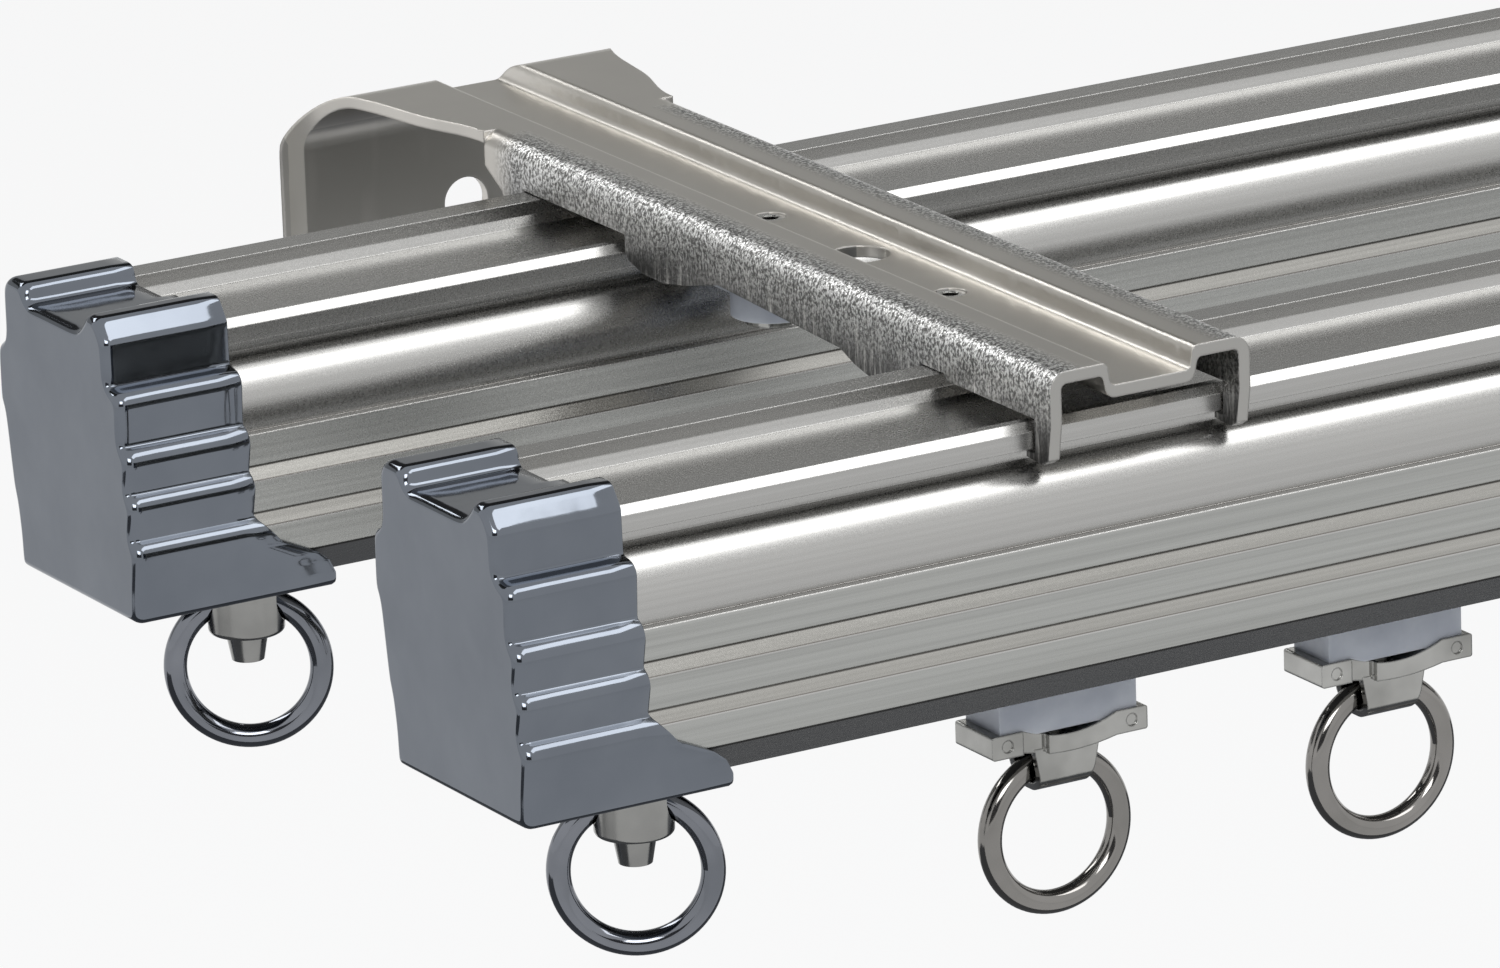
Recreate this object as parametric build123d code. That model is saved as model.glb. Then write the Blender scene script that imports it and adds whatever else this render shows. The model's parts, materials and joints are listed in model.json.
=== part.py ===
from build123d import *
import math
import os

# Double curtain track: two rails side by side, end caps, hook-on brackets, wheeled runners.
# Origin: on the wall, mid-length, at the height of the wall screws. +X along the rails,
# +Y towards the wall, +Z up. All sizes in millimetres.

# The whole track
track_length = 480.0          # over the end faces of the caps
rail_spacing = 75.0           # centre to centre of the two rails
wall_to_rear_rail = 42.9      # wall face to the rear rail's centre
screw_above_rail = 16.8       # wall screws above the rails' bottom face
seat_gap = 0.1                # between fixed pieces that rest on each other

# Rail section, measured from the rail's centre plane and up from its bottom face
rail_wall = 1.3
rail_floor = 24.35            # top face of the channel between the ridges
front_ridge_rise = 1.4
front_ridge_width = 1.8
front_ridge_chamfer = 0.8
rear_ridge_rise = 2.35
rear_ridge_width = 3.2
rear_ledge = 0.5
ridge_face = 9.7              # outer face of both ridges
lip_underside = 23.3
pocket_depth = 2.1            # how far the undercut goes in below the lip
pocket_height = 1.5
lip_slope = 0.4
lobe_base = 15.4
front_lobe = 12.1
rear_lobe = 11.5
front_flats = (13.2, 13.7, 14.1)
rear_flats = (10.75, 10.1, 9.1)
flute_top = 15.2
flute_pitch = 4.5
flute_flat = 3.05
flute_groove = 0.35
front_foot = 11.8             # outer corners of the bottom face
rear_foot = 8.6
slot_centre = -1.3
slot_width = 7.0

# End cap
cap_end_wall = 1.6
cap_reach = 13.4              # how far the cap covers the rail's flanks
cap_ridge_reach = 12.1        # and its rear ridge
cap_floor_reach = 21.7        # and its bottom
cap_fit = 0.1
cap_floor_wall = 1.0
cap_side_wall = 0.7
cap_top_wall = 1.4
cap_channel_wall = 1.85
cap_front_ridge_wall = 2.4
cap_rim = 0.9                 # rounding of the cap's end face
cap_edge = 0.3                # rounding of the sleeve's long edges
cap_corner = 0.7              # and of its top corners
cap_bulge = 0.1               # how far each scallop bows out
cap_shoulder = 1.0            # how high the uppermost scallop bows
cap_ridge_step = 1.0          # up from the channel, where its front edge steps forward
skirt_rise = 7.5              # where the skirt's edge starts to sweep forward
skirt_foot = 0.4              # where it ends
skirt_middle = (2.5, 2.9)     # forward and down from its start
skirt_low = (6.2, 4.6)

# Swivel post under the cap
post_edge = 3.1               # post axis to the edge of the cap's floor
boss_radius = 3.75
boss_length = 7.0
boss_corner = 0.5
nose_radius = 2.1
nose_tip_radius = 1.6
nose_length = 2.8
post_neck_radius = 2.0
post_head_radius = 3.0
post_head_height = 1.2
post_fit = 0.05
post_gap = 0.3
post_throat = 0.6             # straight middle of the cross hole for the ring

# Rings
ring_outer = 16.5
ring_wire = 2.3
ring_gap = 0.3
ring_turn = -30.0             # how the cap's rings hang at rest, about the upright axis

# Runner
runner_insets = (63.6, 100.1, 400.0)   # from the left cap's end face
body_length = 15.0
body_width = 6.0
body_top = 9.6                # above the rail's bottom face
body_corner = 2.2
wheel_radius = 4.0
wheel_width = 3.4
wheel_offset = 5.8            # wheel centre from the slot's centre
wheel_groove = 0.5
wheel_gap = 0.3               # under the wheel's tread
wheel_fit = 0.02
axle_radius = 1.0
axle_fit = 0.05
axle_head_radius = 1.6
axle_head = 0.5
plate_drop = 5.6              # plate's top face below the rail's bottom face
plate_length = 17.0
plate_width = 6.6
plate_thickness = 2.3
plate_block = 3.4
plate_edge = 0.25
saddle_dip = 1.1
saddle_relief = 0.5           # the nylon stays clear of the bottom of the dip
recess_width = 2.8            # in the plate's edge, beside each end block
recess_depth = 0.7
dimple_radius = 0.6           # in the end of each block
dimple_depth = 0.2
stud_radius = 1.25
stud_length = 6.0
stud_fit = 0.05
strap_sheet = 0.8
strap_width = 7.1
strap_foot_width = 5.0
strap_room = 3.8              # inside the strap, across the rail
strap_drop = 6.9              # strap's bottom below the plate's top face
strap_flat = 0.4              # half the straight part of its foot
strap_play = 0.65             # between the ring's wire and that foot

# Bracket
bracket_inset = 68.2          # bracket's centre from the cap's end face
sheet = 1.2
arm_half_width = 10.85
web_half_width = 3.75
web_slope = 1.5               # width of the curved step between web and ridge
step_lag = 0.42               # how far its lower face lies outside its upper one
trough_depth = 2.25
sheet_corner = 1.8
arm_above_ridge = 4.45        # arm's top above the rail's rear ridge
arm_overhang = 3.1            # past the front rail's lip
claw_toe = 1.3                # how far the toe goes in under the lip
claw_below_lip = 1.2
claw_gap = 0.2
claw_round = 0.6
claw_foot = 1.6
toe_rise = 0.2
ridge_clear = 0.45            # over the front ridges
ridge_step = 0.6
front_arch = ((3.0, 0), (9.8, 0), (12.5, 0.6), (15.0, 1.55))   # behind and over the front lip
rear_arch = ((18.0, 2.45), (12.0, 1.0), (7.5, 0.2), (3.5, 0.3), (1.0, 1.0), (0.2, 1.8))
claw_back = ((1.5, 0), (3.0, 1.2), (4.5, 3.65))   # behind the rear claw and over its toe
ear_half_width = 16.5         # at the bend, where the arm turns down along the wall
flare_start = 25.2            # where the arm starts to flare, from the wall
flare_turn = 0.68             # share of that length over which it widens quickly
flare_slope = 0.35            # at the wall
ear_round = 0.9
ear_height = 2.9
ear_slope = 0.6
bend_radius = 6.0
plate_half_width = 20.5
plate_shoulder = 7.0          # height over which the plate widens below the bend
plate_corner = 3.0
plate_below_screw = 11.6
wall_screw_radius = 2.5
ceiling_screw_radius = 3.0
ceiling_screw_y = -79.0

# Lock levers under the bracket
lever_offset = 16.6           # rivets from the ceiling screw
rivet_radius = 1.6
rivet_head_radius = 2.8
rivet_head = 0.7
rivet_fit = 0.05
rivet_bore = 0.8
rivet_bore_depth = 1.5
lever_hub_radius = 4.2
lever_hub_height = 8.2
lever_nose_width = 6.0
lever_nose_drop = 0.5         # under the rail's lip
lever_nose_thickness = 0.75
lever_arm_thickness = 1.8
lever_grip = 5.5
lever_shoulder = 1.0          # where the nose starts, before the lip
lever_gap = 0.2
lever_pocket_gap = 0.7

# Positions worked out from the sizes above
rear_rail_y = -wall_to_rear_rail
front_rail_y = rear_rail_y - rail_spacing
rail_y = {"front": front_rail_y, "rear": rear_rail_y}
rail_z = -screw_above_rail
half_length = track_length / 2
post_inset = cap_floor_reach - post_edge
rail_length = track_length - 2 * (cap_end_wall + cap_fit)
rear_ridge_top = rail_floor + rear_ridge_rise
front_ridge_top = rail_floor + front_ridge_rise
pocket_wall = ridge_face - pocket_depth
lobe_top = lip_underside - pocket_height
lobe_rise = lobe_top - lobe_base
arm_top = rear_ridge_top + arm_above_ridge
web_top = arm_top - trough_depth
ring_radius = (ring_outer - ring_wire) / 2
wire_radius = ring_wire / 2
axle_height = rail_wall + wheel_gap + wheel_radius
ring_hang = strap_sheet + wire_radius + strap_play - plate_drop - strap_drop
post_top = -cap_floor_wall - post_gap
post_hole_z = post_top - boss_length / 2
front_lip_y = front_rail_y - ridge_face
front_back_lip_y = front_rail_y + ridge_face
rear_lip_y = rear_rail_y - ridge_face
rear_back_lip_y = rear_rail_y + ridge_face


def flute_heights():
    """Upper and lower height of each flat of the shiplap flutes."""
    tops = [flute_top - index * flute_pitch for index in range(len(front_flats))]
    return [(top, top - flute_flat) for top in tops]


def flute_points(flats, side, grow):
    """Outline of one flank's flutes, from the lobe down to the last flat."""
    points = []
    for flat, (top, bottom) in zip(flats, flute_heights()):
        points.append((side * (flat + grow), top))
        points.append((side * (flat + grow), bottom))
        points.append((side * (flat - flute_groove + grow), bottom))
    return points[:-1]


def lobe_arc(side, reach, grow):
    """Quarter ellipse from the lip's pocket down to the lobe's widest point."""
    start = 0 if side > 0 else 90
    return EllipticalCenterArc(
        (side * pocket_wall, lobe_base),
        reach - pocket_wall + grow,
        lobe_rise + grow,
        start_angle=start,
        arc_size=90,
    )


def rail_section():
    """Aluminium extrusion: ridges, lips and pockets, lobes, flutes and an open slot."""
    half_slot = slot_width / 2
    front = [
        (slot_centre - half_slot, 0),
        (-front_foot, 0),
        *reversed(flute_points(front_flats, -1, 0)),
        (-front_lobe, flute_top),
        (-front_lobe, lobe_base),
    ]
    top = [
        (-pocket_wall, lobe_top),
        (-pocket_wall, lip_underside - lip_slope),
        (-ridge_face, lip_underside),
        (-ridge_face, front_ridge_top - front_ridge_chamfer),
        (-ridge_face + front_ridge_chamfer, front_ridge_top),
        (-ridge_face + front_ridge_width, front_ridge_top),
        (-ridge_face + front_ridge_width, rail_floor),
        (ridge_face - rear_ridge_width - rear_ledge, rail_floor),
        (ridge_face - rear_ridge_width, rail_floor + 2 * rear_ledge),
        (ridge_face - rear_ridge_width, rear_ridge_top),
        (ridge_face, rear_ridge_top),
        (ridge_face, lip_underside),
        (pocket_wall, lip_underside - lip_slope),
        (pocket_wall, lobe_top),
    ]
    rear = [
        (rear_lobe, lobe_base),
        (rear_lobe, flute_top),
        *flute_points(rear_flats, 1, 0),
        (rear_foot, 0),
        (slot_centre + half_slot, 0),
        (slot_centre + half_slot, rail_wall),
        (rear_foot - rail_wall, rail_wall),
    ]
    inner_side = rail_wall + flute_groove
    for flat, (upper, lower) in reversed(list(zip(rear_flats, flute_heights()))):
        rear.append((flat - inner_side, lower))
        rear.append((flat - inner_side, upper))
    rear.append((rear_lobe - rail_wall, lobe_base))
    shoulder = pocket_wall - rail_wall
    inner_top = [
        (pocket_wall, lobe_top - rail_wall),
        (shoulder, lobe_top - rail_wall),
        (shoulder, rail_floor - rail_wall),
        (-shoulder, rail_floor - rail_wall),
        (-shoulder, lobe_top - rail_wall),
        (-pocket_wall, lobe_top - rail_wall),
    ]
    inner_front = [
        (-front_lobe + rail_wall, lobe_base),
        (-front_flats[0] + inner_side, lobe_base - rail_wall),
        (-front_flats[0] + inner_side, 2 * rail_wall),
        (-front_foot + rail_wall, rail_wall),
        (slot_centre - half_slot, rail_wall),
        (slot_centre - half_slot, 0),
    ]
    edges = [
        Polyline(*front),
        lobe_arc(-1, front_lobe, 0),
        Polyline(*top),
        lobe_arc(1, rear_lobe, 0),
        Polyline(*rear),
        lobe_arc(1, rear_lobe, -rail_wall),
        Polyline(*inner_top),
        lobe_arc(-1, front_lobe, -rail_wall),
        Polyline(*inner_front),
    ]
    return make_face(edges)


def rail(y):
    section = Plane.YZ * rail_section()
    return Pos(-rail_length / 2, y, rail_z) * extrude(section, rail_length)


def cap_socket():
    """Room for the rail's end inside the cap: the rail's outline, without its pockets."""
    grow = cap_fit
    inner_ridge = ridge_face - rear_ridge_width - grow
    front = [
        (rear_foot + grow, -grow),
        (-front_foot - grow, -grow),
        *reversed(flute_points(front_flats, -1, grow)),
        (-front_lobe - grow, flute_top),
        (-front_lobe - grow, lobe_base),
    ]
    top = [
        (-pocket_wall, lobe_top + grow),
        (-ridge_face - grow, lobe_top + grow),
        (-ridge_face - grow, front_ridge_top - front_ridge_chamfer + grow),
        (-ridge_face + front_ridge_chamfer - grow, front_ridge_top + grow),
        (-ridge_face + front_ridge_width + grow, front_ridge_top + grow),
        (-ridge_face + front_ridge_width + grow, rail_floor + grow),
        (inner_ridge - rear_ledge, rail_floor + grow),
        (inner_ridge, rail_floor + 2 * rear_ledge + grow),
        (inner_ridge, rear_ridge_top + grow),
        (ridge_face + grow, rear_ridge_top + grow),
        (ridge_face + grow, lobe_top + grow),
        (pocket_wall, lobe_top + grow),
    ]
    rear = [
        (rear_lobe + grow, lobe_base),
        (rear_lobe + grow, flute_top),
        *flute_points(rear_flats, 1, grow),
        (rear_foot + grow, -grow),
    ]
    edges = [
        Polyline(*front),
        lobe_arc(-1, front_lobe, grow),
        Polyline(*top),
        lobe_arc(1, rear_lobe, grow),
        Polyline(*rear),
    ]
    return make_face(edges)


def cap_flank(side, lobe, flats):
    """Scalloped flank of the cap, one bulge to each of the rail's flutes, top to bottom."""
    wall = cap_side_wall + cap_fit
    shoulder = ridge_face + wall
    ledge = lobe_top - cap_side_wall
    start = (side * (lobe + wall), flute_top)
    edges = [
        Polyline((side * shoulder, lobe_top), (side * (shoulder + wall), ledge)),
        ThreePointArc(
            (side * (shoulder + wall), ledge),
            (side * (lobe + wall - cap_bulge), (ledge + flute_top) / 2 + cap_shoulder),
            start,
        ),
    ]
    for flat, (top, bottom) in zip(flats, flute_heights()):
        crest = flat + wall + cap_fit
        root = (side * (flat + wall - flute_groove), bottom - wall)
        step = (side * crest, top - wall)
        edges.append(Polyline(start, step))
        bow = (side * (crest + cap_bulge), (top + bottom) / 2 - wall)
        edges.append(ThreePointArc(step, bow, root))
        start = root
    return edges, start


def cap_section():
    """Outline of the cap's sleeve."""
    wall = cap_side_wall + cap_fit
    front, front_end = cap_flank(-1, front_lobe, front_flats)
    rear, rear_end = cap_flank(1, rear_lobe, rear_flats)
    front_top = front_ridge_top + cap_front_ridge_wall
    rear_top = rear_ridge_top + cap_top_wall
    channel = rail_floor + cap_channel_wall
    front_crest = ridge_face - front_ridge_width / 2
    inner_ridge = ridge_face - rear_ridge_width - cap_side_wall
    top = Polyline(
        (-ridge_face - wall, lobe_top),
        (-ridge_face - wall, front_ridge_top),
        (-front_crest - cap_side_wall, front_top - cap_side_wall),
        (-front_crest, front_top),
        (-front_crest + front_ridge_width, front_top),
        (-front_crest + 2 * front_ridge_width, channel),
        (inner_ridge, channel),
        (inner_ridge, rear_top),
        (ridge_face + wall / 2, rear_top),
        (ridge_face + wall, rear_top - wall),
        (ridge_face + wall, lobe_top),
    )
    floor = -cap_floor_wall
    base = Polyline(
        rear_end,
        (rear_foot + wall, floor),
        (-front_flats[-1] - wall / 2, floor),
        front_end,
    )
    return make_face([top, *front, *rear, base])


def cap(y, side):
    """Die-cast end cap; side is -1 for the left end and 1 for the right end."""
    outline = cap_section()
    high = outline.vertices().filter_by(lambda corner: corner.Y > rail_floor)
    outline = fillet(high, cap_corner)
    low = outline.vertices().filter_by(lambda corner: corner.Y < rail_floor)
    outline = fillet(low, cap_edge)
    sleeve = extrude(Plane.YZ * outline, cap_floor_reach)
    rim = sleeve.edges().filter_by_position(Axis.X, 0, 0)
    sleeve = fillet(rim, cap_rim)
    sleeve -= Pos(cap_end_wall, 0, 0) * extrude(Plane.YZ * cap_socket(), cap_floor_reach)
    skirt = Spline(
        (cap_reach, skirt_rise),
        (cap_reach + skirt_middle[0], skirt_rise - skirt_middle[1]),
        (cap_reach + skirt_low[0], skirt_rise - skirt_low[1]),
        (cap_floor_reach, skirt_foot),
        tangents=[(0.3, -1), (0.2, -1)],
    )
    edge = Polyline(
        (cap_floor_reach, skirt_foot),
        (2 * cap_floor_reach, skirt_foot),
        (2 * cap_floor_reach, arm_top),
        (cap_reach, arm_top),
        (cap_reach, skirt_rise),
    )
    cut = Plane.XZ * make_face([skirt, edge])
    sleeve -= extrude(cut, 2 * front_foot, both=True)
    ridge_cut = Pos(cap_ridge_reach, 0, rail_floor + cap_ridge_step) * Box(
        cap_floor_reach,
        2 * ridge_face,
        arm_top,
        align=(Align.MIN, Align.MIN, Align.MIN),
    )
    sleeve -= ridge_cut
    neck = Cylinder(post_neck_radius + post_fit, 4 * cap_floor_wall)
    sleeve -= Pos(post_inset, slot_centre, 0) * neck
    placed = Pos(-half_length, y, rail_z) * sleeve
    return placed if side < 0 else mirror(placed, Plane.YZ)


def ring_room(axis_plane):
    """Bell-mouthed cross hole that lets a ring hang and swing."""
    reach = boss_radius + post_gap
    throat = post_throat / 2
    small = wire_radius + ring_gap
    mouth = small + ring_radius - math.sqrt(ring_radius**2 - reach**2)
    middle = (reach + throat) / 2
    bow = small + ring_radius - math.sqrt(ring_radius**2 - middle**2)
    profile = make_face([
        Line((-throat, small), (throat, small)),
        ThreePointArc((throat, small), (middle, bow), (reach, mouth)),
        Polyline((reach, mouth), (reach, 0), (-reach, 0), (-reach, mouth)),
        ThreePointArc((-reach, mouth), (-middle, bow), (-throat, small)),
    ])
    return axis_plane * revolve(Plane.XY * profile, Axis.X)


def post(y, side):
    """Turned post: head above the cap's floor, neck through it, boss and nose below."""
    head_base = post_gap - cap_fit
    outline = Polyline(
        (0, head_base + post_head_height),
        (post_head_radius, head_base + post_head_height),
        (post_head_radius, head_base),
        (post_neck_radius, head_base),
        (post_neck_radius, post_top),
        (boss_radius, post_top),
        (boss_radius, post_top - boss_length),
        (nose_radius, post_top - boss_length),
        (nose_tip_radius, post_top - boss_length - nose_length),
        (0, post_top - boss_length - nose_length),
        (0, head_base + post_head_height),
    )
    turned = revolve(Plane.XZ * make_face(outline), Axis.Z)
    corners = turned.edges().filter_by(GeomType.CIRCLE).group_by(lambda edge: edge.radius)[-1]
    turned = fillet(corners, boss_corner)
    hole = ring_room(Plane((0, 0, post_hole_z), x_dir=(1, 0, 0), z_dir=(0, 0, 1)))
    turned -= hole
    turned = Rot(0, 0, side * -ring_turn) * turned
    return Pos(side * (half_length - post_inset), y + slot_centre, rail_z) * turned


def ring():
    """Closed wire ring in the XZ plane, hanging from the origin."""
    return Pos(0, 0, -ring_radius) * Rot(90, 0, 0) * Torus(ring_radius, wire_radius)


def cap_ring(y, side):
    turned = Rot(0, 0, side * -ring_turn) * ring()
    place = Pos(side * (half_length - post_inset), y + slot_centre, rail_z + post_hole_z)
    return place * turned


def hanger_plate():
    """Saddle plate seen from the front: two end blocks and a dip in the middle."""
    half = plate_length / 2
    inner = half - plate_block
    low = -plate_thickness
    dip = saddle_dip
    return make_face([
        Polyline((-inner, 0), (-half, 0), (-half, low), (-inner, low)),
        ThreePointArc((-inner, low), (0, low - dip / 2), (inner, low)),
        Polyline((inner, low), (half, low), (half, 0), (inner, 0)),
        ThreePointArc((inner, 0), (0, -dip), (-inner, 0)),
    ])


def hanger():
    """Saddle plate with its stud above and the strap that holds the ring below."""
    plate = extrude(Plane.XZ * hanger_plate(), plate_width / 2, both=True)
    plate = fillet(plate.edges().filter_by(Axis.Y), plate_edge)
    block = (plate_length - plate_block) / 2
    recess = Pos(-block + (plate_block + recess_width) / 2, -plate_width / 2, -plate_thickness) * Box(
        recess_width, 2 * recess_depth, 2 * plate_thickness
    )
    for turn in (0, 180):
        plate -= Rot(0, 0, turn) * recess
        for x in (-block, block):
            dimple = Rot(90, 0, 0) * Cylinder(dimple_radius, 2 * dimple_depth)
            plate -= Rot(0, 0, turn) * Pos(x, -plate_width / 2, -plate_thickness / 2) * dimple
    stud = Pos(0, 0, -saddle_dip) * Cylinder(
        stud_radius, stud_length, align=(Align.CENTER, Align.CENTER, Align.MIN)
    )
    room = strap_room / 2
    outer = room + strap_sheet
    foot = -strap_drop
    bend = outer - strap_flat
    inside = bend - strap_sheet
    bow = math.sqrt(0.5)
    profile = make_face([
        Polyline((-room, -plate_thickness), (-outer, -plate_thickness), (-outer, foot + bend)),
        ThreePointArc(
            (-outer, foot + bend),
            (-outer + bend * (1 - bow), foot + bend * (1 - bow)),
            (-outer + bend, foot),
        ),
        Line((-outer + bend, foot), (outer - bend, foot)),
        ThreePointArc(
            (outer - bend, foot),
            (outer - bend * (1 - bow), foot + bend * (1 - bow)),
            (outer, foot + bend),
        ),
        Polyline((outer, foot + bend), (outer, -plate_thickness), (room, -plate_thickness)),
        Line((room, -plate_thickness), (room, foot + bend)),
        ThreePointArc(
            (room, foot + bend),
            (room - inside * (1 - bow), foot + bend - inside * bow),
            (outer - bend, foot + strap_sheet),
        ),
        Line((outer - bend, foot + strap_sheet), (-outer + bend, foot + strap_sheet)),
        ThreePointArc(
            (-outer + bend, foot + strap_sheet),
            (-room + inside * (1 - bow), foot + bend - inside * bow),
            (-room, foot + bend),
        ),
        Line((-room, foot + bend), (-room, -plate_thickness)),
    ])
    strap = extrude(Plane.YZ * profile, strap_width / 2, both=True)
    taper = make_face(Polyline(
        (-strap_width / 2, 0),
        (-strap_width / 2, -plate_thickness),
        (-strap_foot_width / 2, foot - strap_sheet),
        (strap_foot_width / 2, foot - strap_sheet),
        (strap_width / 2, -plate_thickness),
        (strap_width / 2, 0),
        (-strap_width / 2, 0),
    ))
    strap &= extrude(Plane.XZ * taper, plate_width, both=True)
    return plate + stud + strap


def runner_body():
    """Nylon body: a neck through the rail's slot and a rounded top between the wheels."""
    block = Box(
        body_length,
        body_width,
        body_top + plate_drop + saddle_dip,
        align=(Align.CENTER, Align.CENTER, Align.MAX),
    )
    body = Pos(0, 0, body_top) * block
    ends = body.edges().filter_by(Axis.Y).group_by(Axis.Z)[-1]
    body = fillet(ends, body_corner)
    solid_plate = Pos(0, 0, -plate_drop) * extrude(
        Plane.XZ * hanger_plate(), plate_width, both=True
    )
    body -= solid_plate
    body -= Pos(0, 0, -plate_drop - saddle_dip) * Box(
        plate_length, plate_width, saddle_relief, align=(Align.CENTER, Align.CENTER, Align.MIN)
    )
    axle_bore = Rot(90, 0, 0) * Cylinder(axle_radius + axle_fit, 2 * body_width)
    body -= Pos(0, 0, axle_height) * axle_bore
    body -= Pos(0, 0, -plate_drop - saddle_dip) * Cylinder(
        stud_radius + stud_fit,
        stud_length + stud_fit,
        align=(Align.CENTER, Align.CENTER, Align.MIN),
    )
    return body


def wheel():
    """Nylon wheel with a shallow groove round its tread, on the Y axis."""
    tread = Rot(90, 0, 0) * Cylinder(wheel_radius, wheel_width)
    tread = fillet(tread.edges().filter_by(GeomType.CIRCLE), wheel_groove)
    bore = Rot(90, 0, 0) * Cylinder(axle_radius + wheel_fit, 2 * wheel_width)
    return tread - bore


def axle():
    """Steel axle with a riveted head at each end, on the Y axis."""
    span = 2 * wheel_offset + wheel_width + 2 * wheel_fit
    shaft = Rot(90, 0, 0) * Cylinder(axle_radius, span)
    for end in (-1, 1):
        y = end * (span + axle_head) / 2
        shaft += Pos(0, y, 0) * Rot(90, 0, 0) * Cylinder(axle_head_radius, axle_head)
    return shaft


def flare_plan():
    """Plan of the flared sheet between the arm and the wall."""
    edges = [
        Line((-arm_half_width, -flare_start), (arm_half_width, -flare_start)),
        Line((-plate_half_width, 0), (plate_half_width, 0)),
    ]
    for side in (-1, 1):
        edges.append(Spline(
            (side * arm_half_width, -flare_start),
            (side * (2 * arm_half_width + ear_half_width) / 3, -flare_start * flare_turn),
            (side * ear_half_width, -bend_radius / 2),
            (side * plate_half_width, 0),
            tangents=[(0, 1), (side, flare_slope)],
        ))
    return make_face(edges)


def plate_front():
    """Wall plate seen from the room, with its screw hole."""
    bottom = screw_above_rail - plate_below_screw
    shoulder = arm_top - plate_shoulder
    edges = [Line((-ear_half_width, arm_top), (ear_half_width, arm_top))]
    for side in (-1, 1):
        edges.append(Spline(
            (side * ear_half_width, arm_top),
            (side * (plate_half_width - ear_round), arm_top - ear_height),
            (side * plate_half_width, shoulder),
            tangents=[(side, -ear_slope), (0, -1)],
        ))
        edges.append(Polyline(
            (side * plate_half_width, shoulder),
            (side * plate_half_width, bottom + plate_corner),
            (side * (plate_half_width - plate_corner), bottom),
            (0, bottom),
        ))
    face = make_face(edges)
    return face - Pos(0, screw_above_rail) * Circle(wall_screw_radius)


def bend_side(inset):
    """Side view of what lies under the arm's top face and behind the wall plate's back face."""
    radius = bend_radius - inset
    start = -flare_start - inset
    low = screw_above_rail - plate_below_screw - inset
    half = radius * math.sqrt(0.5)
    centre = (-bend_radius, arm_top - bend_radius)
    return make_face([
        Line((start, arm_top - inset), (centre[0], arm_top - inset)),
        ThreePointArc(
            (centre[0], arm_top - inset),
            (centre[0] + half, centre[1] + half),
            (-inset, centre[1]),
        ),
        Polyline((-inset, centre[1]), (-inset, low), (start, low), (start, arm_top - inset)),
    ])


def trough_strip():
    """Section of the sheet in the middle of the arm: web, curved steps, ridge shoulders."""
    half = web_half_width
    outer = half + web_slope
    low = -trough_depth
    upper = Spline(
        (half, low), (half + web_slope / 2, low / 2), (outer, 0), tangents=[(1, 0), (1, 0)]
    )
    lower = Spline(
        (half, low - sheet),
        (half + web_slope / 2 + step_lag, low / 2 - sheet),
        (outer + step_lag, -sheet),
        tangents=[(1, 0), (1, 0)],
    )
    upper_left = mirror(upper, Plane.YZ)
    lower_left = mirror(lower, Plane.YZ)
    side = outer + sheet
    return make_face([
        Line((-half, low), (half, low)),
        upper,
        Line((outer, 0), (side, 0)),
        Line((side, 0), (side, -sheet)),
        Line((side, -sheet), (outer + step_lag, -sheet)),
        lower,
        Line((half, low - sheet), (-half, low - sheet)),
        lower_left,
        Line((-outer - step_lag, -sheet), (-side, -sheet)),
        Line((-side, -sheet), (-side, 0)),
        Line((-side, 0), (-outer, 0)),
        upper_left,
    ])


def flange_outline():
    """Side view of what stays of the flanges: claws, feet and arches over the ridges."""
    ridge = rear_ridge_top + seat_gap
    low_ridge = front_ridge_top + ridge_clear
    toe_top = lip_underside - lip_slope
    toe_low = lip_underside - claw_below_lip
    front = front_lip_y - arm_overhang
    back_claw = rear_back_lip_y + claw_gap
    toe_end = front_lip_y + claw_toe
    ridge_edge = front_back_lip_y - rear_ridge_width
    over = arm_top + sheet
    points = [
        (front, over),
        (front, low_ridge),
        (front + claw_round, toe_low + claw_round),
        (front + claw_foot, toe_low),
        (toe_end, toe_low + toe_rise),
        (toe_end, toe_top),
        (front_lip_y - claw_gap, toe_top),
        (front_lip_y - claw_gap, low_ridge),
        (ridge_edge - 2 * ridge_step, low_ridge),
        (ridge_edge - ridge_step, ridge),
        (front_back_lip_y + claw_gap, ridge),
        *[(front_back_lip_y + out, lip_underside + up) for out, up in front_arch],
        *[(rear_lip_y - out, lip_underside + up) for out, up in rear_arch],
        (rear_lip_y - claw_gap, ridge),
        (back_claw, ridge),
        (back_claw, toe_top),
        (rear_back_lip_y - claw_toe, toe_top),
        (rear_back_lip_y - claw_toe, toe_low + toe_rise),
        *[(back_claw + out, toe_low + up) for out, up in claw_back],
        (-flare_start, web_top - sheet),
        (-flare_start, over),
        (front, over),
    ]
    return make_face(Polyline(*points))


def arm():
    """Straight part of the arm: rounded ridges and flanges, cut to their outline."""
    depth = arm_top - lip_underside + claw_below_lip + sheet
    length = -front_lip_y + arm_overhang - flare_start + sheet
    place = Pos(0, -flare_start - length / 2, arm_top)
    down = (Align.CENTER, Align.CENTER, Align.MAX)
    block = Box(2 * arm_half_width, length, depth, align=down)
    block = fillet(block.edges().filter_by(Axis.Y).group_by(Axis.Z)[-1], sheet_corner)
    inner = Pos(0, 0, -sheet) * Box(
        2 * (arm_half_width - sheet), 2 * length, depth, align=down
    )
    inner = fillet(inner.edges().filter_by(Axis.Y).group_by(Axis.Z)[-1], sheet_corner - sheet)
    keep = extrude(Plane.YZ * flange_outline(), 2 * plate_half_width, both=True)
    return (place * (block - inner)) & keep


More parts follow.
